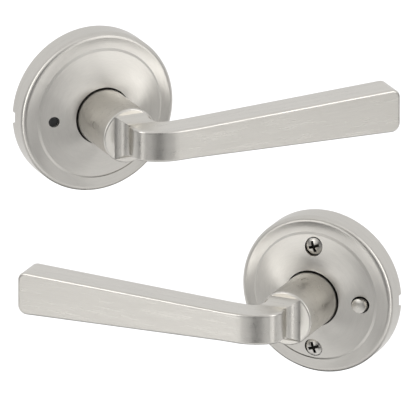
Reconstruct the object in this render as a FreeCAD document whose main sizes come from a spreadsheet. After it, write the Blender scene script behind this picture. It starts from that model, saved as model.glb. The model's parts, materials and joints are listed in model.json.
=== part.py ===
import FreeCAD, Part
import math
import os

import Sketcher

# Privacy lever set for a passage door: an outside half and an inside half.
# Each half is modelled in its own axes and then placed. In those axes x runs
# along a level lever, y is up and z points straight out of the door, with
# zero at the door's face. All sizes are in millimetres and degrees.

SIZES = {
    # How the two halves are set out.
    "half_turn": 25.0,
    "inside_shift_across": 95.3,
    "inside_shift_back": 55.0,
    "inside_shift_down": 98.5,
    # Rose: a drawn shell with a straight rim, a ledge and a low dome.
    "rose_radius": 33.3,
    "rose_wall": 1.0,
    "rim_height": 7.3,
    "rim_round": 2.4,
    "rim_slope": 8.0,
    "ledge_radius": 27.2,
    "ledge_height": 10.4,
    "ledge_curve": 30.0,
    "shoulder_radius": 26.3,
    "shoulder_height": 11.1,
    "dome_height": 14.0,
    "dome_curve": 90.0,
    "rose_hole": 11.9,
    "pry_notch_width": 4.8,
    "pry_notch_height": 2.2,
    # Positions of the fasteners and of the lock on the rose.
    "screw_offset": 21.7,
    "lock_offset": 20.8,
    "pinhole_radius": 2.2,
    "screw_opening": 3.85,
    "button_opening": 3.65,
    # Mounting plate.
    "plate_back": 1.6,
    "plate_front": 3.2,
    "plate_radius": 32.2,
    "bearing_hole": 9.6,
    "screw_boss_radius": 4.4,
    "screw_boss_top": 10.0,
    "screw_clearance": 2.15,
    # Threaded posts.
    "post_radius": 3.2,
    "post_bore": 1.65,
    "post_length": 18.0,
    "post_neck_radius": 2.8,
    "post_head_radius": 4.3,
    "post_head_top": 4.1,
    # Spring cage and the torsion spring in it.
    "cage_radius": 15.6,
    "cage_sheet": 0.8,
    "cage_top": 10.2,
    "coil_radius": 12.2,
    "coil_wire": 0.6,
    "coil_start": 4.8,
    "coil_pitch": 1.5,
    "coil_height": 3.75,
    "coil_outer_leg": 14.6,
    "coil_inner_leg": 9.95,
    # Driver: the sleeve that carries the lever and turns the spindle.
    "journal_radius": 9.54,
    "journal_back": 0.2,
    "shoulder": 10.6,
    "sleeve_radius": 8.5,
    "sleeve_end": 32.0,
    "socket_side": 8.3,
    "groove_radius": 8.7,
    "groove_back": 0.62,
    "groove_front": 1.28,
    # Retaining ring, thrust washer and neck bushing.
    "ring_inner": 8.75,
    "ring_outer": 11.8,
    "ring_back": 0.66,
    "ring_front": 1.24,
    "ring_gap": 6.0,
    "washer_inner": 9.62,
    "washer_outer": 12.6,
    "washer_back": 1.3,
    "washer_front": 1.58,
    "bushing_inner": 11.36,
    "bushing_outer": 13.6,
    "bushing_back": 10.25,
    "bushing_front": 12.4,
    # Spindle.
    "spindle_side": 8.0,
    "spindle_front": 26.0,
    "spindle_back": 45.0,
    "spindle_chamfer": 0.8,
    # Lever neck.
    "neck_radius": 11.3,
    "neck_back": 10.65,
    "neck_front": 39.4,
    "neck_edge_round": 0.7,
    "neck_bore": 8.6,
    "neck_bore_end": 32.2,
    # Block between the neck and the blade, hollowed on all four sides.
    "block_left": 6.7,
    "block_right": 6.9,
    "block_half_height": 9.0,
    "cove_top": 44.4,
    "cove_curve": 7.0,
    "waist_left": 2.6,
    "waist_half_height": 6.45,
    # Bend and blade.
    "bend_start": 47.4,
    "bend_tight": 8.0,
    "bend_open": 20.0,
    "bend_change": 50.0,
    "heel_curve": 6.5,
    "heel_reach": 13.4,
    "blade_front": 58.2,
    "blade_back_near": 46.0,
    "blade_back_far": 45.3,
    "blade_reach": 110.2,
    "blade_half_near": 6.45,
    "flare_start": 20.0,
    "flare_round": 150.0,
    "blade_half_far": 9.1,
    "tip_round": 3.6,
    "front_edge_round": 1.0,
    "back_edge_round": 0.6,
    # Lever catch, in its oval hole in the side of the neck.
    "catch_length": 3.6,
    "catch_width": 2.4,
    "catch_gap": 0.12,
    "catch_inner": 8.62,
    "catch_outer": 11.1,
    "catch_hole_inner": 8.0,
    "catch_hole_outer": 13.0,
    "outside_catch_angle": 165.0,
    "outside_catch_height": 29.5,
    "inside_catch_angle": 265.0,
    "inside_catch_height": 23.0,
    # Release guide behind the pinhole.
    "release_bore": 2.7,
    "release_radius": 3.4,
    "release_top": 10.4,
    # Mounting screws.
    "screw_radius": 1.95,
    "screw_tip": 20.5,
    "screw_tip_radius": 1.2,
    "screw_head_radius": 3.5,
    "screw_head_side": 11.6,
    "screw_head_top": 12.6,
    "recess_width": 1.2,
    "recess_length": 4.8,
    "recess_depth": 1.9,
    # Lock button, rod, spring and guide.
    "button_radius": 3.0,
    "button_side": 14.3,
    "button_top": 15.0,
    "flange_radius": 4.0,
    "flange_back": 8.4,
    "flange_front": 9.6,
    "rod_radius": 1.5,
    "rod_hole": 1.56,
    "rod_end": 21.0,
    "guide_inner": 4.06,
    "guide_outer": 4.7,
    "guide_lip": 3.06,
    "guide_lip_back": 9.64,
    "guide_top": 10.05,
    "button_coil_radius": 2.7,
    "button_wire": 0.25,
    "button_coil_start": 3.55,
    "button_coil_pitch": 1.5,
    "button_coil_height": 4.5,
}

doc = FreeCAD.newDocument("LeverSet")


class Dim:
    """A size: its present value, and the expression that follows the sheet."""

    def __init__(self, value, expression):
        self.value = value
        self.expression = expression

    def __add__(self, other):
        other = dim(other)
        return Dim(self.value + other.value, f"({self.expression} + {other.expression})")

    def __sub__(self, other):
        other = dim(other)
        return Dim(self.value - other.value, f"({self.expression} - {other.expression})")

    def __mul__(self, other):
        other = dim(other)
        return Dim(self.value * other.value, f"({self.expression} * {other.expression})")

    def __neg__(self):
        return self * -1


def dim(size):
    """Turn a plain number into a Dim."""
    if isinstance(size, Dim):
        return size
    return Dim(float(size), f"({size})")


def cosine(angle):
    """Cosine of an angle in degrees."""
    return Dim(math.cos(math.radians(angle.value)), f"cos({angle.expression} * 1deg)")


def sine(angle):
    """Sine of an angle in degrees."""
    return Dim(math.sin(math.radians(angle.value)), f"sin({angle.expression} * 1deg)")


def make_sheet():
    """Write every size to the spreadsheet and return them as Dims by name."""
    sheet = doc.addObject("Spreadsheet::Sheet", "Dims")
    dims = {}
    for row, (name, value) in enumerate(SIZES.items(), start=1):
        sheet.set(f"A{row}", name)
        sheet.set(f"B{row}", str(value))
        sheet.setAlias(f"B{row}", name)
        dims[name] = Dim(value, f"Dims.{name}")
    doc.recompute()
    return dims


D = make_sheet()


def bind(thing, prop, size):
    """Set a property and bind it to the sheet."""
    size = dim(size)
    setattr(thing, prop, size.value)
    thing.setExpression(prop, size.expression)


# --- Sketches ---------------------------------------------------------------

PLANE_TURN = {
    "XY_Plane": FreeCAD.Rotation(),
    "XZ_Plane": FreeCAD.Rotation(FreeCAD.Vector(1, 0, 0), 90),
    "YZ_Plane": FreeCAD.Rotation(FreeCAD.Vector(1, 1, 1), 120),
}


def new_sketch(name, plane, body=None, lift=None):
    """A sketch on a base plane, in a body or loose, lifted along its normal."""
    if body is None:
        sketch = doc.addObject("Sketcher::SketchObject", name)
        sketch.Placement = FreeCAD.Placement(FreeCAD.Vector(), PLANE_TURN[plane])
        return sketch
    sketch = body.newObject("Sketcher::SketchObject", name)
    origin_plane = next(f for f in body.Origin.OriginFeatures if f.Role == plane)
    sketch.AttachmentSupport = [(origin_plane, "")]
    sketch.MapMode = "FlatFace"
    if lift is not None:
        sketch.AttachmentOffset = FreeCAD.Placement(
            FreeCAD.Vector(0, 0, lift.value), FreeCAD.Rotation()
        )
        sketch.setExpression("AttachmentOffset.Base.z", lift.expression)
    return sketch


def fix_point(sketch, geometry, end, point):
    """Hold a point of the sketch at its two coordinates."""
    for kind, size in zip(("DistanceX", "DistanceY"), point):
        size = dim(size)
        row = sketch.addConstraint(
            Sketcher.Constraint(kind, -1, 1, geometry, end, size.value)
        )
        sketch.setExpression(f"Constraints[{row}]", size.expression)


def arc_between(start, finish, radius, side):
    """Arc from start to finish; side +1 puts its centre on the left, -1 on the right."""
    across = finish - start
    half = across.Length / 2
    reach = math.sqrt(radius * radius - half * half)
    left = FreeCAD.Vector(-across.y, across.x, 0).normalize()
    centre = start + across * 0.5 + left * (side * reach)
    first, last = (start, finish) if side > 0 else (finish, start)
    angles = [math.atan2(p.y - centre.y, p.x - centre.x) for p in (first, last)]
    circle = Part.Circle(centre, FreeCAD.Vector(0, 0, 1), radius)
    return Part.ArcOfCircle(circle, angles[0], angles[1])


def draw_outline(sketch, corners):
    """Closed outline. Each corner is (x, y) or (x, y, radius, side) to arc to the next."""
    points = [FreeCAD.Vector(dim(c[0]).value, dim(c[1]).value, 0) for c in corners]
    ends = []
    for i, corner in enumerate(corners):
        start, finish = points[i], points[(i + 1) % len(points)]
        if len(corner) == 2:
            row = sketch.addGeometry(Part.LineSegment(start, finish), False)
            ends.append((row, 1, 2))
            continue
        radius, side = dim(corner[2]), corner[3]
        row = sketch.addGeometry(arc_between(start, finish, radius.value, side), False)
        ends.append((row, 1, 2) if side > 0 else (row, 2, 1))
    for i, corner in enumerate(corners):
        row, start_end, finish_end = ends[i]
        following = ends[(i + 1) % len(ends)]
        sketch.addConstraint(
            Sketcher.Constraint("Coincident", row, finish_end, following[0], following[1])
        )
        fix_point(sketch, row, start_end, corner[:2])
        if len(corner) == 4:
            rule = sketch.addConstraint(Sketcher.Constraint("Radius", row, corner[2].value))
            sketch.setExpression(f"Constraints[{rule}]", corner[2].expression)
    return sketch


def draw_circle(sketch, centre, radius):
    """A circle held by its centre and radius."""
    spot = FreeCAD.Vector(dim(centre[0]).value, dim(centre[1]).value, 0)
    row = sketch.addGeometry(
        Part.Circle(spot, FreeCAD.Vector(0, 0, 1), radius.value), False
    )
    fix_point(sketch, row, 3, centre)
    rule = sketch.addConstraint(Sketcher.Constraint("Radius", row, radius.value))
    sketch.setExpression(f"Constraints[{rule}]", radius.expression)


# --- Part Design bodies -----------------------------------------------------


def new_body(label):
    """An empty body that may hold a matched set of separate solids."""
    body = doc.addObject("PartDesign::Body", label)
    body.Label = label
    body.AllowCompound = True
    return body


def turned_body(label, profile):
    """A body turned about z from a profile of (radius, height) corners."""
    body = new_body(label)
    sketch = draw_outline(new_sketch(label + "_profile", "XZ_Plane", body), profile)
    turn = body.newObject("PartDesign::Revolution", label + "_turn")
    turn.Profile = sketch
    turn.ReferenceAxis = (sketch, ["V_Axis"])
    turn.Angle = 360.0
    doc.recompute()
    return body


def pad(body, name, sketch, length):
    """Pad a sketch upwards."""
    feature = body.newObject("PartDesign::Pad", name)
    feature.Profile = sketch
    bind(feature, "Length", length)
    doc.recompute()
    return feature


def pad_circles(body, name, centres, radius, low, high):
    """Pad round bosses from one height to another."""
    sketch = new_sketch(name + "_sketch", "XY_Plane", body, low)
    for centre in centres:
        draw_circle(sketch, centre, radius)
    return pad(body, name, sketch, high - low)


def pocket(body, name, sketch, length=None):
    """Cut a sketch upwards out of the body, and make sure that it cuts."""
    before = body.Shape.Volume
    feature = body.newObject("PartDesign::Pocket", name)
    feature.Profile = sketch
    feature.Reversed = True
    if length is None:
        feature.Type = "ThroughAll"
    else:
        bind(feature, "Length", length)
    doc.recompute()
    if body.Shape.Volume > before - 0.01:
        raise RuntimeError(name + " cuts nothing")
    return feature


def drill(body, name, centres, radius, low=None):
    """Drill round holes right through, starting at a height."""
    sketch = new_sketch(name + "_sketch", "XY_Plane", body, low)
    for centre in centres:
        draw_circle(sketch, centre, radius)
    return pocket(body, name, sketch)


def rectangle(left, bottom, right, top):
    """Corners of an upright rectangle."""
    return [(left, bottom), (right, bottom), (right, top), (left, top)]


def centred_square(side):
    """Corners of a square about the origin."""
    half = side * 0.5
    return rectangle(-half, -half, half, half)


# --- Placement of the two halves ---------------------------------------------


def half_placement(half):
    """Where a half's own axes lie in the set."""
    turn = D["half_turn"].value
    spot = FreeCAD.Vector(0, 0, 0)
    if half == "inside":
        turn = -turn
        spot = FreeCAD.Vector(
            D["inside_shift_across"].value,
            D["inside_shift_back"].value,
            -D["inside_shift_down"].value,
        )
    upright = FreeCAD.Rotation(FreeCAD.Vector(1, 0, 0), 90)
    return FreeCAD.Placement(spot, FreeCAD.Rotation(FreeCAD.Vector(0, 0, 1), turn) * upright)


def place(thing, half, turn=0.0, across=0.0):
    """Place a piece in its half, turned about the spindle and moved along x."""
    own = FreeCAD.Placement(
        FreeCAD.Vector(across, 0, 0), FreeCAD.Rotation(FreeCAD.Vector(0, 0, 1), turn)
    )
    thing.Placement = half_placement(half) * own
    return thing


# --- Pieces that both halves share -------------------------------------------

SCREW_SPOTS = [(0, D["screw_offset"]), (0, -D["screw_offset"])]


def rose_profile():
    """Half section of the drawn shell, out along the face and back inside it."""
    wall = D["rose_wall"]
    rim_top = D["rim_height"] + D["rim_round"] * cosine(D["rim_slope"])
    rim_turn = D["rose_radius"] - D["rim_round"] + D["rim_round"] * sine(D["rim_slope"])
    return [
        (D["rose_radius"], 0),
        (D["rose_radius"], D["rim_height"], D["rim_round"], 1),
        (rim_turn, rim_top, D["ledge_curve"], -1),
        (D["ledge_radius"], D["ledge_height"]),
        (D["shoulder_radius"], D["shoulder_height"], D["dome_curve"], 1),
        (D["rose_hole"], D["dome_height"]),
        (D["rose_hole"], D["dome_height"] - wall),
        (D["shoulder_radius"] - wall * 0.3, D["shoulder_height"] - wall),
        (D["ledge_radius"], D["ledge_height"] - wall * 1.2),
        (rim_turn, rim_top - wall * 1.2),
        (D["rose_radius"] - wall, D["rim_height"] - wall * 0.5),
        (D["rose_radius"] - wall, 0),
    ]


def make_rose(half, side, holes):
    """Rose with its holes and the notch for prying it off; side is the notch's side."""
    label = half + "_rose"
    body = turned_body(label, rose_profile())
    for name, centres, radius in holes:
        drill(body, f"{label}_{name}", centres, radius)
    notch = new_sketch(label + "_notch_sketch", "XY_Plane", body)
    half_width = D["pry_notch_width"] * 0.5
    inner = D["rose_radius"] - D["rose_wall"] * 2
    outer = D["rose_radius"] + D["rose_wall"]
    if side > 0:
        corners = rectangle(inner, -half_width, outer, half_width)
    else:
        corners = rectangle(-outer, -half_width, -inner, half_width)
    draw_outline(notch, corners)
    pocket(body, label + "_notch", notch, D["pry_notch_height"])
    return place(body, half)


def make_cage(half):
    """Spring cage: a floor, a wall and a top flange around the driver."""
    sheet = D["cage_sheet"]
    low, top = D["plate_front"], D["cage_top"]
    profile = [
        (D["bearing_hole"], low),
        (D["cage_radius"], low),
        (D["cage_radius"], top),
        (D["bearing_hole"], top),
        (D["bearing_hole"], top - sheet),
        (D["cage_radius"] - sheet, top - sheet),
        (D["cage_radius"] - sheet, low + sheet),
        (D["bearing_hole"], low + sheet),
    ]
    return place(turned_body(half + "_spring_cage", profile), half)


def make_coil(name, radius, wire, start, pitch, height):
    """A coil of round wire about z."""
    helix = doc.addObject("Part::Helix", name + "_line")
    bind(helix, "Pitch", pitch)
    bind(helix, "Height", height)
    bind(helix, "Radius", radius)
    circle = doc.addObject("Part::Circle", name + "_wire")
    bind(circle, "Radius", wire)
    circle.Placement = FreeCAD.Placement(
        FreeCAD.Vector(radius.value, 0, 0), FreeCAD.Rotation(FreeCAD.Vector(1, 0, 0), 90)
    )
    circle.setExpression("Placement.Base.x", radius.expression)
    sweep = doc.addObject("Part::Sweep", name + "_coil")
    sweep.Sections = [circle]
    doc.recompute()
    sweep.Spine = (helix, [f"Edge{i + 1}" for i in range(len(helix.Shape.Edges))])
    sweep.Solid = True
    sweep.Frenet = True
    sweep.Placement.Base.z = start.value
    sweep.setExpression("Placement.Base.z", start.expression)
    doc.recompute()
    return sweep


def make_leg(name, wire, angle, near, far, level):
    """A straight spring leg along a radius."""
    leg = doc.addObject("Part::Cylinder", name)
    bind(leg, "Radius", wire)
    bind(leg, "Height", far - near)
    out = FreeCAD.Rotation(FreeCAD.Vector(0, 0, 1), angle)
    lay_down = FreeCAD.Rotation(FreeCAD.Vector(0, 1, 0), 90)
    spot = out.multVec(FreeCAD.Vector(near.value, 0, level.value))
    leg.Placement = FreeCAD.Placement(spot, out * lay_down)
    return leg


def make_return_spring(half):
    """Torsion spring: a coil with one leg on the cage and one by the driver."""
    label = half + "_return_spring"
    wire = D["coil_wire"]
    coil = make_coil(
        label, D["coil_radius"], wire, D["coil_start"], D["coil_pitch"], D["coil_height"]
    )
    end_angle = 360.0 * D["coil_height"].value / D["coil_pitch"].value
    high = D["coil_start"] + D["coil_height"]
    outer = make_leg(
        label + "_outer_leg", wire, 0, D["coil_radius"], D["coil_outer_leg"], D["coil_start"]
    )
    inner = make_leg(
        label + "_inner_leg", wire, end_angle, D["coil_inner_leg"], D["coil_radius"], high
    )
    spring = doc.addObject("Part::MultiFuse", label)
    spring.Label = label
    spring.Shapes = [coil, outer, inner]
    doc.recompute()
    return place(spring, half)


def make_driver(half):
    """Driver: a journal with a ring groove, a shoulder, a sleeve and a square socket."""
    label = half + "_spring_driver"
    # A narrow round bore, which the square socket then swallows.
    core = D["socket_side"] * 0.3
    profile = [
        (core, D["journal_back"]),
        (D["journal_radius"], D["journal_back"]),
        (D["journal_radius"], D["groove_back"]),
        (D["groove_radius"], D["groove_back"]),
        (D["groove_radius"], D["groove_front"]),
        (D["journal_radius"], D["groove_front"]),
        (D["journal_radius"], D["shoulder"]),
        (D["sleeve_radius"], D["shoulder"]),
        (D["sleeve_radius"], D["sleeve_end"]),
        (core, D["sleeve_end"]),
    ]
    body = turned_body(label, profile)
    sketch = new_sketch(label + "_socket_sketch", "XY_Plane", body)
    draw_outline(sketch, centred_square(D["socket_side"]))
    pocket(body, label + "_socket", sketch)
    return place(body, half)


def ring_body(label, inner, outer, back, front):
    """A plain flat ring."""
    return turned_body(label, rectangle(inner, back, outer, front))


def make_retaining_ring(half):
    """Open ring that snaps into the driver's groove."""
    label = half + "_retaining_ring"
    body = ring_body(label, D["ring_inner"], D["ring_outer"], D["ring_back"], D["ring_front"])
    sketch = new_sketch(label + "_gap_sketch", "XY_Plane", body)
    gap = D["ring_gap"] * 0.5
    draw_outline(sketch, rectangle(-gap, -D["ring_outer"] * 2, gap, 0))
    pocket(body, label + "_gap", sketch)
    return place(body, half)


def make_thrust_washer(half):
    """Flat washer between the retaining ring and the plate."""
    label = half + "_thrust_washer"
    sizes = (D["washer_inner"], D["washer_outer"], D["washer_back"], D["washer_front"])
    return place(ring_body(label, *sizes), half)


def make_bushing(half):
    """Plastic bearing ring around the neck, under the rose's hole."""
    label = half + "_neck_bushing"
    sizes = (D["bushing_inner"], D["bushing_outer"], D["bushing_back"], D["bushing_front"])
    return place(ring_body(label, *sizes), half)


# --- Lever --------------------------------------------------------------------


def extrude(name, sketch, length, symmetric=False):
    """Extrude a loose sketch along its normal."""
    feature = doc.addObject("Part::Extrusion", name)
    feature.Base = sketch
    feature.DirMode = "Normal"
    bind(feature, "LengthFwd", length)
    feature.Solid = True
    feature.Symmetric = symmetric
    return feature


def revolve(name, sketch):
    """Turn a loose sketch about z."""
    feature = doc.addObject("Part::Revolution", name)
    feature.Source = sketch
    feature.Axis = FreeCAD.Vector(0, 0, 1)
    feature.Angle = 360.0
    feature.Solid = True
    return feature


def combine(kind, name, shapes):
    """Fuse or intersect several solids."""
    feature = doc.addObject(kind, name)
    feature.Shapes = shapes
    doc.recompute()
    return feature


def cut(name, base, tool):
    """Take one solid out of another."""
    feature = doc.addObject("Part::Cut", name)
    feature.Base = base
    feature.Tool = tool
    doc.recompute()
    return feature


def neck_solid(name):
    """Hollow round neck with a softened outer end."""
    radius, edge = D["neck_radius"], D["neck_edge_round"]
    front = D["neck_front"]
    profile = [
        (D["neck_bore"], D["neck_back"]),
        (radius, D["neck_back"]),
        (radius, front - edge, edge, 1),
        (radius - edge, front),
        (0, front),
        (0, D["neck_bore_end"]),
        (D["neck_bore"], D["neck_bore_end"]),
    ]
    return revolve(name, draw_outline(new_sketch(name + "_profile", "XZ_Plane"), profile))


def blade_side(name):
    """The lever seen from above: block, bend, blade and heel."""
    change = D["bend_change"]
    centre_x = D["bend_tight"] - D["waist_left"]
    change_x = centre_x - D["bend_tight"] * cosine(change)
    change_z = D["bend_start"] + D["bend_tight"] * sine(change)
    flat_x = change_x + D["bend_open"] * cosine(change)
    outline = [
        (-D["block_left"], D["neck_front"] - 1),
        (D["block_right"], D["neck_front"] - 1),
        (D["block_right"], D["neck_front"], D["heel_curve"], -1),
        (D["heel_reach"], D["blade_back_near"]),
        (D["blade_reach"], D["blade_back_far"]),
        (D["blade_reach"], D["blade_front"]),
        (flat_x, D["blade_front"], D["bend_open"], 1),
        (change_x, change_z, D["bend_tight"], 1),
        (-D["waist_left"], D["bend_start"]),
        (-D["waist_left"], D["cove_top"], D["cove_curve"], -1),
        (-D["block_left"], D["neck_front"]),
    ]
    sketch = draw_outline(new_sketch(name + "_outline", "XZ_Plane"), outline)
    return extrude(name, sketch, D["blade_half_far"] * 3, symmetric=True)


def blade_front(name):
    """The blade seen from the front: it widens to a tip with rounded corners."""
    near, far = D["blade_half_near"], D["blade_half_far"]
    reach, flare = D["blade_reach"], D["flare_start"]
    left = -D["block_left"] - 2
    outline = [
        (left, -near),
        (flare, -near),
        (reach, -far),
        (reach, far),
        (flare, near),
        (left, near),
    ]
    sketch = draw_outline(new_sketch(name + "_outline", "XY_Plane"), outline)
    sketch.Placement.Base.z = D["cove_top"].value
    sketch.setExpression("Placement.Base.z", D["cove_top"].expression)
    prism = extrude(name, sketch, D["blade_front"] - D["cove_top"] + 1)
    doc.recompute()
    rounds = [(number, D["tip_round"]) for number in upright_edges(prism.Shape, reach.value)]
    rounds += [(number, D["flare_round"]) for number in upright_edges(prism.Shape, flare.value)]
    return round_edges(name + "_corners", prism, rounds)


def block_end(name):
    """The block seen from its end: its top and bottom are hollowed to the waist."""
    wide, narrow = D["block_half_height"], D["waist_half_height"]
    foot, low, high = D["neck_front"] - 1, D["neck_front"], D["cove_top"]
    outline = [
        (-wide, foot),
        (wide, foot),
        (wide, low, D["cove_curve"], -1),
        (narrow, high),
        (-narrow, high, D["cove_curve"], -1),
        (-wide, low),
    ]
    sketch = draw_outline(new_sketch(name + "_outline", "YZ_Plane"), outline)
    return extrude(name, sketch, D["heel_reach"] * 2, symmetric=True)


def upright_edges(shape, reach):
    """Edges along z at a distance out along the blade."""
    found = []
    for number, edge in enumerate(shape.Edges, start=1):
        box = edge.BoundBox
        if box.ZLength > 1 and abs(box.XMin - reach) < 0.1 and abs(box.XMax - reach) < 0.1:
            found.append(number)
    return found


def level_edges(shape, low, high, start):
    """Edges between two heights that reach further out than a point."""
    found = []
    for number, edge in enumerate(shape.Edges, start=1):
        box = edge.BoundBox
        if box.ZMin > low - 0.05 and box.ZMax < high + 0.05 and box.XMax > start:
            found.append(number)
    return found


def round_edges(name, base, rounds):
    """Round the numbered edges of a solid, each with its own radius."""
    feature = doc.addObject("Part::Fillet", name)
    feature.Base = base
    feature.Edges = [(number, size.value, size.value) for number, size in rounds]
    doc.recompute()
    return feature


def make_blade(name):
    """Bend and blade with softened long edges."""
    shapes = [blade_side(name + "_side"), blade_front(name + "_front")]
    blade = combine("Part::MultiCommon", name, shapes)
    start = D["flare_start"].value + 2
    top = D["blade_front"].value
    numbers = level_edges(blade.Shape, top, top, start)
    blade = round_edges(name + "_front_edges", blade, [(n, D["front_edge_round"]) for n in numbers])
    low, high = D["blade_back_far"].value, D["blade_back_near"].value
    numbers = level_edges(blade.Shape, low, high, start)
    return round_edges(name + "_back_edges", blade, [(n, D["back_edge_round"]) for n in numbers])


def make_lever(half, catch_angle, catch_height, turn):
    """Lever: a round neck, a hollowed block, a bend and a flat blade, cast in one."""
    label = half + "_lever"
    blade = make_blade(label + "_blade")
    block = combine(
        "Part::MultiCommon", label + "_block",
        [blade_side(label + "_block_side"), block_end(label + "_block_end")],
    )
    neck = neck_solid(label + "_neck")
    whole = combine("Part::MultiFuse", label + "_whole", [neck, block, blade])
    hole = catch_solid(
        label + "_catch_hole", catch_height, D["catch_gap"],
        D["catch_hole_inner"], D["catch_hole_outer"],
    )
    hole.Placement = FreeCAD.Placement(
        FreeCAD.Vector(), FreeCAD.Rotation(FreeCAD.Vector(0, 0, 1), catch_angle.value)
    )
    lever = cut(label, whole, hole)
    lever.Label = label
    return place(lever, half, turn)


def catch_solid(name, height, gap, inner, outer):
    """An oval pin along x, at a height on the neck."""
    half_width = D["catch_width"] * 0.5 + gap
    half_length = D["catch_length"] * 0.5 + gap
    outline = rectangle(-half_width, height - half_length, half_width, height + half_length)
    sketch = draw_outline(new_sketch(name + "_outline", "YZ_Plane"), outline)
    sketch.Placement.Base.x = inner.value
    sketch.setExpression("Placement.Base.x", inner.expression)
    prism = extrude(name + "_prism", sketch, outer - inner)
    doc.recompute()
    sides = [n for n, edge in enumerate(prism.Shape.Edges, start=1) if edge.BoundBox.XLength > 1]
    return round_edges(name, prism, [(n, half_width - 0.02) for n in sides])


def make_catch(half, height, angle, turn):
    """Sprung catch that keeps the lever on its driver."""
    label = half + "_lever_catch"
    catch = catch_solid(label, height, dim(0), D["catch_inner"], D["catch_outer"])
    catch.Label = label
    doc.recompute()
    return place(catch, half, turn + angle.value)


# --- Outside half ---------------------------------------------------------------


def make_outside_plate():
    """Plate that carries the posts and the spring cage."""
    label = "outside_mounting_plate"
    body = turned_body(
        label,
        rectangle(D["bearing_hole"], D["plate_back"], D["plate_radius"], D["plate_front"]),
    )
    drill(body, label + "_post_holes", SCREW_SPOTS, D["post_neck_radius"])
    drill(body, label + "_pin_hole", [(-D["lock_offset"], 0)], D["release_bore"])
    return place(body, "outside")


def make_posts():
    """Two threaded posts, riveted through the plate."""
    label = "outside_threaded_posts"
    body = new_body(label)
    back, front = D["plate_back"], D["plate_front"]
    pad_circles(body, label + "_tubes", SCREW_SPOTS, D["post_radius"], -D["post_length"], back)
    pad_circles(body, label + "_necks", SCREW_SPOTS, D["post_neck_radius"], back, front)
    pad_circles(
        body, label + "_heads", SCREW_SPOTS, D["post_head_radius"], front, D["post_head_top"]
    )
    drill(body, label + "_bores", SCREW_SPOTS, D["post_bore"], -D["post_length"])
    return place(body, "outside")


def make_spindle():
    """Square spindle, from inside the outside driver to the inside driver's socket."""
    label = "spindle"
    body = new_body(label)
    sketch = new_sketch(label + "_section", "XY_Plane", body, -D["spindle_back"])
    draw_outline(sketch, centred_square(D["spindle_side"]))
    bar = pad(body, label + "_bar", sketch, D["spindle_front"] + D["spindle_back"])
    ends = []
    for number, edge in enumerate(bar.Shape.Edges, start=1):
        if abs(edge.BoundBox.ZMin - edge.BoundBox.ZMax) < 0.01:
            ends.append(f"Edge{number}")
    chamfer = body.newObject("PartDesign::Chamfer", label + "_end_chamfers")
    chamfer.Base = (bar, ends)
    bind(chamfer, "Size", D["spindle_chamfer"])
    doc.recompute()
    return place(body, "outside")


def make_release_guide():
    """Plastic tube that leads a release pin from the pinhole to the plate."""
    body = ring_body(
        "outside_release_guide",
        D["release_bore"], D["release_radius"], D["plate_front"], D["release_top"],
    )
    return place(body, "outside", across=-D["lock_offset"].value)


# --- Inside half ------------------------------------------------------------------


def make_inside_plate():
    """Plate with a boss under each screw head."""
    label = "inside_mounting_plate"
    body = turned_body(
        label,
        rectangle(D["bearing_hole"], D["plate_back"], D["plate_radius"], D["plate_front"]),
    )
    pad_circles(
        body, label + "_bosses", SCREW_SPOTS,
        D["screw_boss_radius"], D["plate_back"], D["screw_boss_top"],
    )
    drill(body, label + "_screw_holes", SCREW_SPOTS, D["screw_clearance"])
    drill(body, label + "_rod_hole", [(D["lock_offset"], 0)], D["rod_hole"])
    return place(body, "inside")


def dome_curve(radius, side, top):
    """Radius of the arc that rises from side, at radius, to top on the axis."""
    rise = top.value - side.value
    lift = f"({top.expression} - {side.expression})"
    return Dim(
        (radius.value ** 2 + rise ** 2) / (2 * rise),
        f"(({radius.expression})^2 + {lift}^2) / (2 * {lift})",
    )


def screw_profile():
    """Half section of a screw with a domed head."""
    radius, side, top = D["screw_head_radius"], D["screw_head_side"], D["screw_head_top"]
    return [
        (0, -D["screw_tip"]),
        (D["screw_tip_radius"], -D["screw_tip"]),
        (D["screw_radius"], -D["screw_tip"] + 2),
        (D["screw_radius"], D["screw_boss_top"]),
        (radius, D["screw_boss_top"]),
        (radius, side, dome_curve(radius, side, top), 1),
        (0, top),
    ]


def make_screw(name, offset):
    """One mounting screw with a cross recess."""
    screw = revolve(
        name, draw_outline(new_sketch(name + "_profile", "XZ_Plane"), screw_profile())
    )
    slots = []
    for turn in (0, 90):
        slot = doc.addObject("Part::Box", f"{name}_slot_{turn}")
        bind(slot, "Length", D["recess_length"])
        bind(slot, "Width", D["recess_width"])
        bind(slot, "Height", D["recess_depth"] + 1)
        corner = FreeCAD.Vector(
            -D["recess_length"].value / 2,
            -D["recess_width"].value / 2,
            D["screw_head_top"].value - D["recess_depth"].value,
        )
        about = FreeCAD.Rotation(FreeCAD.Vector(0, 0, 1), turn)
        slot.Placement = FreeCAD.Placement(about.multVec(corner), about)
        slots.append(slot)
    recess = combine("Part::MultiFuse", name + "_recess", slots)
    finished = cut(name + "_finished", screw, recess)
    finished.Placement = FreeCAD.Placement(
        FreeCAD.Vector(0, offset.value, 0), FreeCAD.Rotation(FreeCAD.Vector(0, 0, 1), 20)
    )
    finished.setExpression("Placement.Base.y", offset.expression)
    return finished


def make_mounting_screws():
    """The pair of screws that clamp the two halves to the door."""
    upper = make_screw("upper_screw", D["screw_offset"])
    lower = make_screw("lower_screw", -D["screw_offset"])
    pair = doc.addObject("Part::Compound", "inside_mounting_screws")
    pair.Label = "inside_mounting_screws"
    pair.Links = [upper, lower]
    doc.recompute()
    return place(pair, "inside")


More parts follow.
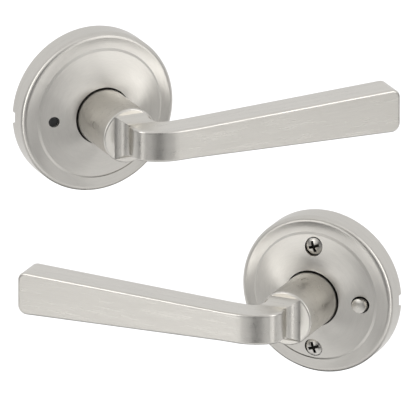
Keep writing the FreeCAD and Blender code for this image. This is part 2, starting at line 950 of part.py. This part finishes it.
def make_lock_button():
    """Push button with a domed end and a flange that keeps it in its guide."""
    radius, side, top = D["button_radius"], D["button_side"], D["button_top"]
    profile = [
        (0, D["flange_back"]),
        (D["flange_radius"], D["flange_back"]),
        (D["flange_radius"], D["flange_front"]),
        (radius, D["flange_front"]),
        (radius, side, dome_curve(radius, side, top), 1),
        (0, top),
    ]
    button = turned_body("lock_button", profile)
    return place(button, "inside", across=D["lock_offset"].value)


def make_lock_rod():
    """Rod behind the button, through the door to the outside half."""
    profile = rectangle(0, -D["rod_end"], D["rod_radius"], D["flange_back"])
    return place(turned_body("lock_rod", profile), "inside", across=D["lock_offset"].value)


def make_button_spring():
    """Compression spring between the plate and the button's flange.

    Its three turns close to two millimetres, just under the room that a fully
    pushed button leaves.
    """
    label = "lock_button_spring"
    coil = make_coil(
        label, D["button_coil_radius"], D["button_wire"],
        D["button_coil_start"], D["button_coil_pitch"], D["button_coil_height"],
    )
    spring = doc.addObject("Part::Compound", label)
    spring.Label = label
    spring.Links = [coil]
    doc.recompute()
    return place(spring, "inside", across=D["lock_offset"].value)


def make_button_guide():
    """Plastic guide tube with a lip that stops the button's flange."""
    profile = [
        (D["guide_inner"], D["plate_front"]),
        (D["guide_outer"], D["plate_front"]),
        (D["guide_outer"], D["guide_top"]),
        (D["guide_lip"], D["guide_top"]),
        (D["guide_lip"], D["guide_lip_back"]),
        (D["guide_inner"], D["guide_lip_back"]),
    ]
    guide = turned_body("lock_button_guide", profile)
    return place(guide, "inside", across=D["lock_offset"].value)


# --- The set ----------------------------------------------------------------------


def make_shared(half):
    """Pieces that are the same in both halves."""
    return [
        make_cage(half),
        make_return_spring(half),
        make_driver(half),
        make_retaining_ring(half),
        make_thrust_washer(half),
        make_bushing(half),
    ]


def make_outside():
    """Every piece of the outside half."""
    pinhole = ("pinhole", [(-D["lock_offset"], 0)], D["pinhole_radius"])
    height, angle = D["outside_catch_height"], D["outside_catch_angle"]
    return [
        make_rose("outside", -1, [pinhole]),
        make_outside_plate(),
        make_posts(),
        make_spindle(),
        make_release_guide(),
        make_lever("outside", angle, height, 0),
        make_catch("outside", height, angle, 0),
    ] + make_shared("outside")


def make_inside():
    """Every piece of the inside half, whose lever points the other way."""
    holes = [
        ("screw_openings", SCREW_SPOTS, D["screw_opening"]),
        ("button_opening", [(D["lock_offset"], 0)], D["button_opening"]),
    ]
    height, angle = D["inside_catch_height"], D["inside_catch_angle"]
    return [
        make_rose("inside", 1, holes),
        make_inside_plate(),
        make_mounting_screws(),
        make_lever("inside", angle, height, 180),
        make_catch("inside", height, angle, 180),
        make_lock_button(),
        make_lock_rod(),
        make_button_spring(),
        make_button_guide(),
    ] + make_shared("inside")


def check(pieces):
    """Stop if any feature failed or any piece has no sound shape."""
    for thing in doc.Objects:
        if "Invalid" in thing.State or "Error" in thing.State:
            raise RuntimeError(f"{thing.Name} failed: {thing.State}")
    for piece in pieces:
        if piece.Shape.isNull() or not piece.Shape.isValid():
            raise RuntimeError(piece.Label + " has no sound shape")


def main():
    pieces = make_outside() + make_inside()
    doc.recompute()
    check(pieces)
    os.makedirs("parts", exist_ok=True)
    for piece in pieces:
        piece.Shape.exportStep(f"parts/{piece.Label}.step")
        solids = len(piece.Shape.Solids)
        print(f"{piece.Label}: {solids} solid(s), {piece.Shape.Volume:.1f} mm3")


main()
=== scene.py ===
import json
import math

import bpy
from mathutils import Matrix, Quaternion, Vector


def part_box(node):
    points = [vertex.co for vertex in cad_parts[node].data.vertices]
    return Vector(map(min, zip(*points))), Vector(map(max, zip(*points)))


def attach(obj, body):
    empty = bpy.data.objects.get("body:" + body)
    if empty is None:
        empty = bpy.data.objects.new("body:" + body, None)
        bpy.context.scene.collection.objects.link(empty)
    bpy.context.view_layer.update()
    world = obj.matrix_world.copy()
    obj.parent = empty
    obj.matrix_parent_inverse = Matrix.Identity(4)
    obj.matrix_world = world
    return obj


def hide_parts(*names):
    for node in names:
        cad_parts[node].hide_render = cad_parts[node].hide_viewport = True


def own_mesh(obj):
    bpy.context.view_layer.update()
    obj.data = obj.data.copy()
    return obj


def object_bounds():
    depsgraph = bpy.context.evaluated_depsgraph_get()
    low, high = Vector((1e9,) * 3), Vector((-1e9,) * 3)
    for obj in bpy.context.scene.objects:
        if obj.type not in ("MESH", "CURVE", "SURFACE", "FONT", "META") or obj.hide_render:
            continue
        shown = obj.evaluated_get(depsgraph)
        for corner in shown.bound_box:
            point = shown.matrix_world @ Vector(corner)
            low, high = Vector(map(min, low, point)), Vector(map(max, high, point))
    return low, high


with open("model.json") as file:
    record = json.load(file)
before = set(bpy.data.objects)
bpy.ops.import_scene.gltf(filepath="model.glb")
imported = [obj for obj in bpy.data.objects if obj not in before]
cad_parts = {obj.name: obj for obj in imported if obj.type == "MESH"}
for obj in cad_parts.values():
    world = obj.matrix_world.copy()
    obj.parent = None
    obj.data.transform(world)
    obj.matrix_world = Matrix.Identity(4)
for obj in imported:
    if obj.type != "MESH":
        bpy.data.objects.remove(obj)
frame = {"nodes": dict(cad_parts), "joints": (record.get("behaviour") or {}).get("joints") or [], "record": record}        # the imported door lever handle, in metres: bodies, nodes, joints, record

CAD_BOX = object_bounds()
NODES = frame["nodes"]
JOINTS = {joint["name"]: joint for joint in frame["joints"]}
UP = Vector((0.0, 0.0, 1.0))
MM = 0.001


# ------------------------------------------------------------------ where things are

class Half:
    """One side of the door set: the point where its lever's axis meets the door, the
    axis pointing out of the door, the level direction across it, and its lever's way."""

    def __init__(self, joint_name, lever):
        self.centre = Vector(JOINTS[joint_name]["pos_m"])
        axis = Vector(JOINTS[joint_name]["axis"]).normalized()
        self.out = axis if axis.y < 0 else -axis
        self.across = UP.cross(self.out).normalized()
        low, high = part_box(lever)
        reach = (low + high) / 2 - self.centre
        self.lever = self.across if reach.dot(self.across) > 0 else -self.across

    def point(self, across=0.0, up=0.0, out=0.0):
        """A place in this half, from its own directions, given in mm."""
        step = self.across * across + UP * up + self.out * out
        return self.centre + step * MM


OUTSIDE = Half("outside_lever_turn", "outside_lever")
INSIDE = Half("inside_lever_turn", "inside_lever")


# ------------------------------------------------------------------ node materials

class Graph:
    """A new material's node tree, with short calls for the nodes used here."""

    def __init__(self, name):
        self.material = bpy.data.materials.new(name)
        self.material.use_nodes = True
        self.tree = self.material.node_tree
        self.tree.nodes.clear()
        self.output = self.tree.nodes.new("ShaderNodeOutputMaterial")
        self.shader = self.tree.nodes.new("ShaderNodeBsdfPrincipled")
        self.join(self.shader.outputs["BSDF"], self.output.inputs["Surface"])
        self.place = self.tree.nodes.new("ShaderNodeTexCoord").outputs["Object"]

    def join(self, source, target):
        """Links a socket to another, or sets a plain value on it."""
        if isinstance(source, bpy.types.NodeSocket):
            self.tree.links.new(source, target)
        elif isinstance(source, Vector):
            target.default_value = tuple(source)
        else:
            target.default_value = source

    def vector(self, operation, *inputs):
        """A vector operation, giving its number where it makes one."""
        node = self.tree.nodes.new("ShaderNodeVectorMath")
        node.operation = operation
        for source, target in zip(inputs, node.inputs):
            self.join(source, target)
        scalar = operation in ("DOT_PRODUCT", "LENGTH", "DISTANCE")
        return node.outputs["Value" if scalar else "Vector"]

    def scaled(self, vector, factor):
        """A vector made longer or shorter."""
        node = self.tree.nodes.new("ShaderNodeVectorMath")
        node.operation = "SCALE"
        self.join(vector, node.inputs[0])
        self.join(factor, node.inputs["Scale"])
        return node.outputs["Vector"]

    def maths(self, operation, *inputs):
        """An operation on plain numbers."""
        node = self.tree.nodes.new("ShaderNodeMath")
        node.operation = operation
        for source, target in zip(inputs, node.inputs):
            self.join(source, target)
        return node.outputs["Value"]

    def remap(self, value, low, high, new_low, new_high, smooth=False):
        """Moves the range from low to high onto the new one, with no value outside it."""
        node = self.tree.nodes.new("ShaderNodeMapRange")
        node.interpolation_type = "SMOOTHSTEP" if smooth else "LINEAR"
        for source, target in zip((value, low, high, new_low, new_high), node.inputs):
            self.join(source, target)
        return node.outputs["Result"]

    def noise(self, vector, scale=1.0, detail=2.0, w=None):
        """Noise in three dimensions, or in four where w is given."""
        node = self.tree.nodes.new("ShaderNodeTexNoise")
        node.noise_dimensions = "3D" if w is None else "4D"
        self.join(vector, node.inputs["Vector"])
        if w is not None:
            self.join(w, node.inputs["W"])
        node.inputs["Scale"].default_value = scale
        node.inputs["Detail"].default_value = detail
        node.inputs["Roughness"].default_value = 0.5
        return node.outputs["Fac"]

    def blend(self, factor, first, second, kind="FLOAT"):
        """First where factor is 0 and second where it is 1."""
        node = self.tree.nodes.new("ShaderNodeMix")
        node.data_type = kind
        sockets = {"FLOAT": (2, 3, 0), "VECTOR": (4, 5, 1), "RGBA": (6, 7, 2)}[kind]
        self.join(factor, node.inputs[0])
        self.join(first, node.inputs[sockets[0]])
        self.join(second, node.inputs[sockets[1]])
        return node.outputs[sockets[2]]

    def tint(self, value, *stops):
        """A colour ramp over value, from (position, (r, g, b)) stops."""
        node = self.tree.nodes.new("ShaderNodeValToRGB")
        ramp = node.color_ramp
        while len(ramp.elements) < len(stops):
            ramp.elements.new(0.5)
        for element, (position, colour) in zip(ramp.elements, stops):
            element.position = position
            element.color = (*colour, 1.0)
        self.join(value, node.inputs["Fac"])
        return node.outputs["Color"]

    def bump(self, height, strength, distance):
        """Fine relief on the shader, from a height."""
        node = self.tree.nodes.new("ShaderNodeBump")
        node.inputs["Strength"].default_value = strength
        node.inputs["Distance"].default_value = distance
        self.join(height, node.inputs["Height"])
        self.join(node.outputs["Normal"], self.shader.inputs["Normal"])

    def set(self, **values):
        """Sets shader sockets by name, with _ for the spaces."""
        for name, value in values.items():
            self.join(value, self.shader.inputs[name.replace("_", " ")])

    def to_world(self, vector):
        """A direction on the object, as a direction in the world."""
        node = self.tree.nodes.new("ShaderNodeVectorTransform")
        node.vector_type = "VECTOR"
        node.convert_from = "OBJECT"
        node.convert_to = "WORLD"
        self.join(vector, node.inputs[0])
        return node.outputs[0]


class Turned:
    """Sockets that describe a place on a piece turned about a half's axis."""

    def __init__(self, graph, centre, axis):
        offset = graph.vector("SUBTRACT", graph.place, centre)
        self.offset = offset
        self.height = graph.vector("DOT_PRODUCT", offset, axis)
        lift = graph.scaled(tuple(axis), self.height)
        flat = graph.vector("SUBTRACT", offset, lift)
        self.radius = graph.vector("LENGTH", flat)
        self.spoke = graph.vector("NORMALIZE", flat)
        self.tangent = graph.vector("CROSS_PRODUCT", axis, self.spoke)
        sweep = graph.maths("MULTIPLY", self.height, 0.73)
        self.ring = graph.maths("ADD", self.radius, sweep)

    def grain(self, graph, lines, arcs):
        """Fine marks that run round the axis: lines per metre, and arcs round it."""
        spoke = graph.scaled(self.spoke, arcs)
        ring = graph.maths("MULTIPLY", self.ring, lines)
        return graph.noise(spoke, w=ring)


def straight_grain(graph, offset, along, lines, stretch):
    """Fine marks that run in one direction: lines per metre, drawn out by stretch."""
    run = graph.vector("DOT_PRODUCT", offset, along)
    back = graph.scaled(tuple(along), graph.maths("MULTIPLY", run, 1 - 1 / stretch))
    squeezed = graph.vector("SUBTRACT", offset, back)
    return graph.noise(graph.scaled(squeezed, lines))


NICKEL_DARK = (0.600, 0.578, 0.535)
NICKEL_PALE = (0.690, 0.665, 0.615)
FINE_LINES = 9000.0       # brush marks in a metre, across the grain
BROAD_LINES = 700.0       # slower changes in the brushing, in a metre

# Heights out of the door, in metres. Between the first two the lever's grain turns from
# round the neck to along the blade. The painted shade on a screw comes in between the next
# two, just under its head, and goes between the last two, near the top of the head.
GRAIN_TURNS = (0.0384, 0.0404)
SHADE_COMES = (0.0090, 0.0094)
SHADE_GOES = (0.0112, 0.0118)
# The dark colour of the painted shade in the screws' recess and round the side of their heads.
PAINTED_SHADE = (0.035, 0.033, 0.030, 1.0)


def finish_nickel(graph, fine, broad, tangent, anisotropy, rough=(0.25, 0.37)):
    """Satin nickel: warm pale metal, brushed, with the brushing as grain and relief."""
    mix = graph.maths("ADD", graph.maths("MULTIPLY", fine, 0.6),
                      graph.maths("MULTIPLY", broad, 0.4))
    graph.set(Base_Color=graph.tint(mix, (0.30, NICKEL_DARK), (0.70, NICKEL_PALE)))
    graph.set(Metallic=1.0, Anisotropic=anisotropy)
    graph.set(Roughness=graph.remap(mix, 0.3, 0.7, *rough))
    graph.set(Tangent=graph.to_world(tangent))
    graph.bump(fine, 0.22, 0.00004)


def turned_nickel(name, centre, axis, anisotropy=0.97, rough=(0.30, 0.36)):
    """Satin nickel brushed round an axis, as on a rose or a screw head."""
    graph = Graph(name)
    turned = Turned(graph, centre, axis)
    fine = turned.grain(graph, FINE_LINES, 9.0)
    broad = turned.grain(graph, BROAD_LINES, 2.5)
    finish_nickel(graph, fine, broad, turned.tangent, anisotropy, rough)
    return graph.material


def lever_nickel(name, half):
    """Satin nickel brushed round the neck, and along the blade past the block."""
    graph = Graph(name)
    turned = Turned(graph, half.centre, half.out)
    blade = graph.remap(turned.height, *GRAIN_TURNS, 0.0, 1.0, smooth=True)
    round_fine = turned.grain(graph, FINE_LINES, 9.0)
    long_fine = straight_grain(graph, turned.offset, half.lever, 7000.0, 60.0)
    fine = graph.blend(blade, round_fine, long_fine)
    round_broad = turned.grain(graph, BROAD_LINES, 2.5)
    long_broad = straight_grain(graph, turned.offset, half.lever, 500.0, 12.0)
    broad = graph.blend(blade, round_broad, long_broad)
    run = half.lever + UP * 0.12
    tangent = graph.blend(blade, turned.tangent, run.normalized(), kind="VECTOR")
    finish_nickel(graph, fine, broad, tangent, 0.45)
    return graph.material


def screw_nickel_painted_shade(name, centre, axis):
    """Nickel-plated screws, with painted shade in the recess and round the side of the head."""
    graph = Graph(name)
    turned = Turned(graph, centre, axis)
    fine = graph.noise(graph.place, scale=2600.0, detail=2.0)
    # Painted shade: the screws are coloured dark, and made rougher, from just under the head to
    # near its top, in the recess and round the head's side. bright is 1 outside this painted
    # shade.
    shade = graph.remap(turned.height, *SHADE_GOES, 0.0, 1.0, smooth=True)
    behind = graph.remap(turned.height, *SHADE_COMES, 1.0, 0.0, smooth=True)
    bright = graph.maths("MAXIMUM", shade, behind)
    plate = graph.tint(fine, (0.3, NICKEL_DARK), (0.7, NICKEL_PALE))
    colour = graph.blend(bright, PAINTED_SHADE, plate, kind="RGBA")
    graph.set(Base_Color=colour, Metallic=1.0)
    graph.set(Roughness=graph.remap(bright, 0.0, 1.0, 0.6, 0.3))
    graph.bump(fine, 0.2, 0.00004)
    return graph.material


def zinc(name):
    """Bright zinc plate on pressed or cast steel: cool, faintly cloudy, lightly scuffed."""
    graph = Graph(name)
    cloud = graph.noise(graph.place, scale=260.0, detail=3.0)
    grit = graph.noise(graph.place, scale=2600.0, detail=2.0)
    spangle = graph.maths("ADD", graph.maths("MULTIPLY", cloud, 0.7),
                          graph.maths("MULTIPLY", grit, 0.3))
    colour = graph.tint(spangle, (0.32, (0.47, 0.48, 0.48)), (0.52, (0.53, 0.54, 0.54)),
                        (0.70, (0.58, 0.58, 0.56)))
    graph.set(Base_Color=colour, Metallic=1.0)
    graph.set(Roughness=graph.remap(cloud, 0.3, 0.7, 0.30, 0.46))
    graph.bump(grit, 0.25, 0.00005)
    return graph.material


def spring_steel(name):
    """Oiled spring steel: darker, with faint draw marks and a brown cast."""
    graph = Graph(name)
    cloud = graph.noise(graph.place, scale=420.0, detail=3.0)
    colour = graph.tint(cloud, (0.35, (0.17, 0.165, 0.16)), (0.65, (0.33, 0.32, 0.31)))
    graph.set(Base_Color=colour, Metallic=1.0)
    graph.set(Roughness=graph.remap(cloud, 0.3, 0.7, 0.28, 0.44))
    fine = graph.noise(graph.place, scale=3800.0, detail=1.0)
    graph.bump(fine, 0.2, 0.00003)
    return graph.material


def nylon(name):
    """Moulded black nylon: charcoal, a little shine, a fine moulded grain."""
    graph = Graph(name)
    cloud = graph.noise(graph.place, scale=180.0, detail=2.0)
    colour = graph.tint(cloud, (0.35, (0.005, 0.005, 0.006)), (0.65, (0.010, 0.010, 0.011)))
    graph.set(Base_Color=colour, Metallic=0.0, Specular_IOR_Level=0.25)
    graph.set(Roughness=graph.remap(cloud, 0.3, 0.7, 0.38, 0.5))
    grain = graph.noise(graph.place, scale=3000.0, detail=2.0)
    graph.bump(grain, 0.25, 0.00004)
    return graph.material


def paint(material, *nodes):
    """Puts one material on every slot of these nodes."""
    for node in nodes:
        for slot in NODES[node].material_slots:
            slot.material = material


def paint_everything():
    """Every CAD node's finish."""
    zinc_plate = zinc("zinc_plate")
    steel = spring_steel("spring_steel_oiled")
    plastic = nylon("nylon_black")
    for side, half in (("outside", OUTSIDE), ("inside", INSIDE)):
        paint(turned_nickel(f"rose_nickel_{side}", half.centre, half.out), f"{side}_rose")
        paint(lever_nickel(f"lever_nickel_{side}", half),
              f"{side}_lever", f"{side}_lever_catch")
        paint(zinc_plate, f"{side}_mounting_plate", f"{side}_spring_cage",
              f"{side}_spring_driver")
        paint(steel, f"{side}_return_spring", f"{side}_retaining_ring",
              f"{side}_thrust_washer")
        paint(plastic, f"{side}_neck_bushing")
    paint(zinc_plate, "outside_threaded_posts", "spindle", "lock_rod")
    paint(steel, "lock_button_spring")
    paint(plastic, "lock_button_guide", "outside_release_guide")
    button = middle("lock_button")
    paint(turned_nickel("button_nickel", button, INSIDE.out, 0.35, (0.34, 0.40)), "lock_button")
    paint(screw_nickel_painted_shade("screw_nickel_painted_shade", INSIDE.centre, INSIDE.out), "inside_mounting_screws")


def middle(node):
    """The middle of a node's box at rest."""
    low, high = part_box(node)
    return (low + high) / 2


# ------------------------------------------------------------------ added pieces

def shorten_button_spring():
    """The lock button's spring, standing in for the still one: a copy with a mesh of its
    own, on the door hardware body, while the still one is hidden."""
    still = NODES["lock_button_spring"]
    spring = still.copy()
    spring.data = still.data.copy()
    spring.name = "lock_button_spring_live"
    bpy.context.scene.collection.objects.link(spring)
    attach(spring, "door_hardware")
    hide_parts("lock_button_spring")
    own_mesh(spring)


# The screws' threads, in mm.
THREAD_PITCH = 0.8
THREAD_ROOT = 1.88
THREAD_CREST = 2.12
THREAD_HALF_WIDTH = 0.34 * THREAD_PITCH
THREAD_SEGMENTS = 36
THREAD_LENGTH = 16.0
TIP_LENGTH = 2.4


def thread_ridge(start, level):
    """Corners and faces of one helical ridge on a screw's shank, closed at both ends.
    start is how far out of the door it begins, and level how far up, in mm."""
    count = round(THREAD_LENGTH / THREAD_PITCH * THREAD_SEGMENTS)
    section = ((THREAD_ROOT, -THREAD_HALF_WIDTH), (THREAD_CREST, 0.0),
               (THREAD_ROOT, THREAD_HALF_WIDTH))
    corners = []
    for step in range(count + 1):
        angle = 2 * math.pi * step / THREAD_SEGMENTS
        height = start + THREAD_PITCH * step / THREAD_SEGMENTS
        for radius, rise in section:
            corners.append(INSIDE.point(radius * math.cos(angle),
                                        level + radius * math.sin(angle),
                                        height + rise))
    faces = [(0, 1, 2), tuple(3 * count + i for i in (2, 1, 0))]
    for step in range(count):
        near, far = 3 * step, 3 * step + 3
        for i in range(3):
            j = (i + 1) % 3
            faces.append((near + i, far + i, far + j, near + j))
    return corners, faces


def thread_screws():
    """Rolled threads on the shanks of the two mounting screws."""
    screws = NODES["inside_mounting_screws"]
    mounts = {mount["name"]: mount for mount in frame["record"]["mounts"]}
    spacing = mounts["post_threads"]["dims"]["pcd_mm"]
    depths = [(point.co - INSIDE.centre).dot(INSIDE.out) for point in screws.data.vertices]
    start = min(depths) / MM + TIP_LENGTH
    corners, faces = [], []
    for level in (spacing / 2, -spacing / 2):
        more, sides = thread_ridge(start, level)
        first = len(corners)
        corners += more
        faces += [tuple(first + i for i in face) for face in sides]
    mesh = bpy.data.meshes.new("inside_screw_threads")
    mesh.from_pydata(corners, [], faces)
    mesh.materials.append(screws.material_slots[0].material)
    threads = bpy.data.objects.new("inside_screw_threads", mesh)
    bpy.context.scene.collection.objects.link(threads)
    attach(threads, "door_hardware")


# ------------------------------------------------------------------ the studio

FLOOR_DROP = 1.2
FLOOR_REACH = 60.0
CAMERA_PITCH = 20.42
CAMERA_DISTANCE = 8.0
CAMERA_LENS = 1732.0
AIM_BACK = 0.00175
AIM_RISE = 0.0047


def make_sheet(name, corners, material):
    """One flat four-cornered sheet of the studio, which isn't part of the handle."""
    mesh = bpy.data.meshes.new(name)
    mesh.from_pydata(corners, [], [(0, 1, 2, 3)])
    mesh.materials.append(material)
    sheet = bpy.data.objects.new(name, mesh)
    bpy.context.scene.collection.objects.link(sheet)
    return sheet


def make_floor():
    """A wide pale floor, well below the handle, so that no shadow of it is in view."""
    level = CAD_BOX[0].z - FLOOR_DROP
    reach = FLOOR_REACH
    corners = [(-reach, -reach, level), (reach, -reach, level),
               (reach, reach, level), (-reach, reach, level)]
    graph = Graph("floor_white")
    cloud = graph.noise(graph.place, scale=0.6, detail=1.0)
    graph.set(Base_Color=graph.tint(cloud, (0.3, (0.90, 0.90, 0.90)), (0.7, (0.92, 0.92, 0.92))))
    graph.set(Roughness=0.9, Specular_IOR_Level=0.1)
    make_sheet("studio_floor", corners, graph.material)


def studio_place(direction, distance):
    """A point of the studio, in a direction from the middle of the handle."""
    low, high = CAD_BOX
    return (low + high) / 2 + direction * distance


def aimed(azimuth, elevation):
    """The level direction azimuth degrees round from the front, raised by elevation."""
    turn, lift = math.radians(azimuth), math.radians(elevation)
    return Vector((math.sin(turn) * math.cos(lift), -math.cos(turn) * math.cos(lift),
                   math.sin(lift)))


def make_flag(name, direction, distance, width, height, material, roll=0.0):
    """A dark card facing the handle, out of the camera's sight, that the metal mirrors."""
    toward = -direction
    level = toward.cross(UP).normalized()
    level.rotate(Quaternion(toward, math.radians(roll)))
    rise = level.cross(toward).normalized()
    spot = studio_place(direction, distance)
    corners = [spot + level * x * width / 2 + rise * y * height / 2
               for x, y in ((-1, -1), (1, -1), (1, 1), (-1, 1))]
    flag = make_sheet(name, corners, material)
    flag.visible_camera = False
    flag.visible_shadow = False
    flag.visible_diffuse = False


def make_flags():
    """The dark cards: two in front, one under, and a slanting and a side one each way."""
    graph = Graph("flag_cloth")
    weave = graph.noise(graph.place, scale=300.0, detail=2.0)
    graph.set(Base_Color=graph.tint(weave, (0.3, (0.02, 0.02, 0.02)), (0.7, (0.04, 0.04, 0.04))))
    graph.set(Roughness=0.9, Specular_IOR_Level=0.1)
    cloth = graph.material
    make_flag("flag_front", aimed(0, 20), 2.0, 0.9, 1.4, cloth)
    make_flag("flag_front_low", aimed(0, -20), 2.0, 0.8, 0.7, cloth)
    make_flag("flag_under", aimed(180, -68), 0.8, 0.9, 0.6, cloth)
    for side, word in ((-1, "left"), (1, "right")):
        make_flag(f"flag_slant_{word}", aimed(18 * side, -1), 1.8, 2.1, 0.55, cloth, 30 * side)
        make_flag(f"flag_side_{word}", aimed(77 * side, -5), 1.35, 1.3, 0.5, cloth, -30 * side)


def make_light(name, place, target, size, radiance):
    """A softbox at place, facing target, as bright as radiance."""
    light = bpy.data.lights.new(name, "AREA")
    light.shape = "RECTANGLE"
    light.size, light.size_y = size
    light.energy = radiance * math.pi * size[0] * size[1]
    lamp = bpy.data.objects.new(name, light)
    lamp.location = place
    lamp.rotation_euler = (target - place).to_track_quat("-Z", "Y").to_euler()
    lamp.visible_camera = False
    bpy.context.scene.collection.objects.link(lamp)
    return lamp


def make_lights():
    """A tall and a low softbox on each side, a lamp over the floor, and a pale world."""
    centre = studio_place(UP, 0.0)
    for side, word in ((-1, "left"), (1, "right")):
        tall = studio_place(aimed(54 * side, 17), 1.5)
        make_light(f"softbox_tall_{word}", tall, centre, (0.40, 1.2), 2.6)
        low = studio_place(aimed(50 * side, -21), 1.5)
        make_light(f"softbox_low_{word}", low, centre, (0.5, 0.4), 1.1)
    behind = centre + Vector((0.0, 3.45, 0.2))
    lamp = make_light("floor_light", behind, behind - UP, (3.0, 3.0), 0.75)
    lamp.visible_glossy = False
    world = bpy.data.worlds.new("studio_world")
    world.use_nodes = True
    background = world.node_tree.nodes["Background"]
    background.inputs["Color"].default_value = (0.98, 0.985, 1.0, 1.0)
    background.inputs["Strength"].default_value = 0.90
    bpy.context.scene.world = world
    bpy.context.scene.view_settings.view_transform = "Standard"


def make_camera():
    """A long lens a little above the handle, level left to right, looking down on it."""
    between = (OUTSIDE.centre + INSIDE.centre) / 2
    pitch = math.radians(CAMERA_PITCH)
    aim = Vector((between.x, AIM_BACK, between.z + AIM_RISE))
    data = bpy.data.cameras.new("camera")
    data.lens = CAMERA_LENS
    data.sensor_width = 36.0
    data.clip_start = 0.1
    data.clip_end = 200.0
    camera = bpy.data.objects.new("camera", data)
    look = Vector((0.0, math.cos(pitch), -math.sin(pitch)))
    camera.location = aim - look * CAMERA_DISTANCE
    camera.rotation_euler = look.to_track_quat("-Z", "Y").to_euler()
    bpy.context.scene.collection.objects.link(camera)
    bpy.context.scene.camera = camera


make_camera()
paint_everything()
shorten_button_spring()
thread_screws()
make_floor()
make_flags()
make_lights()
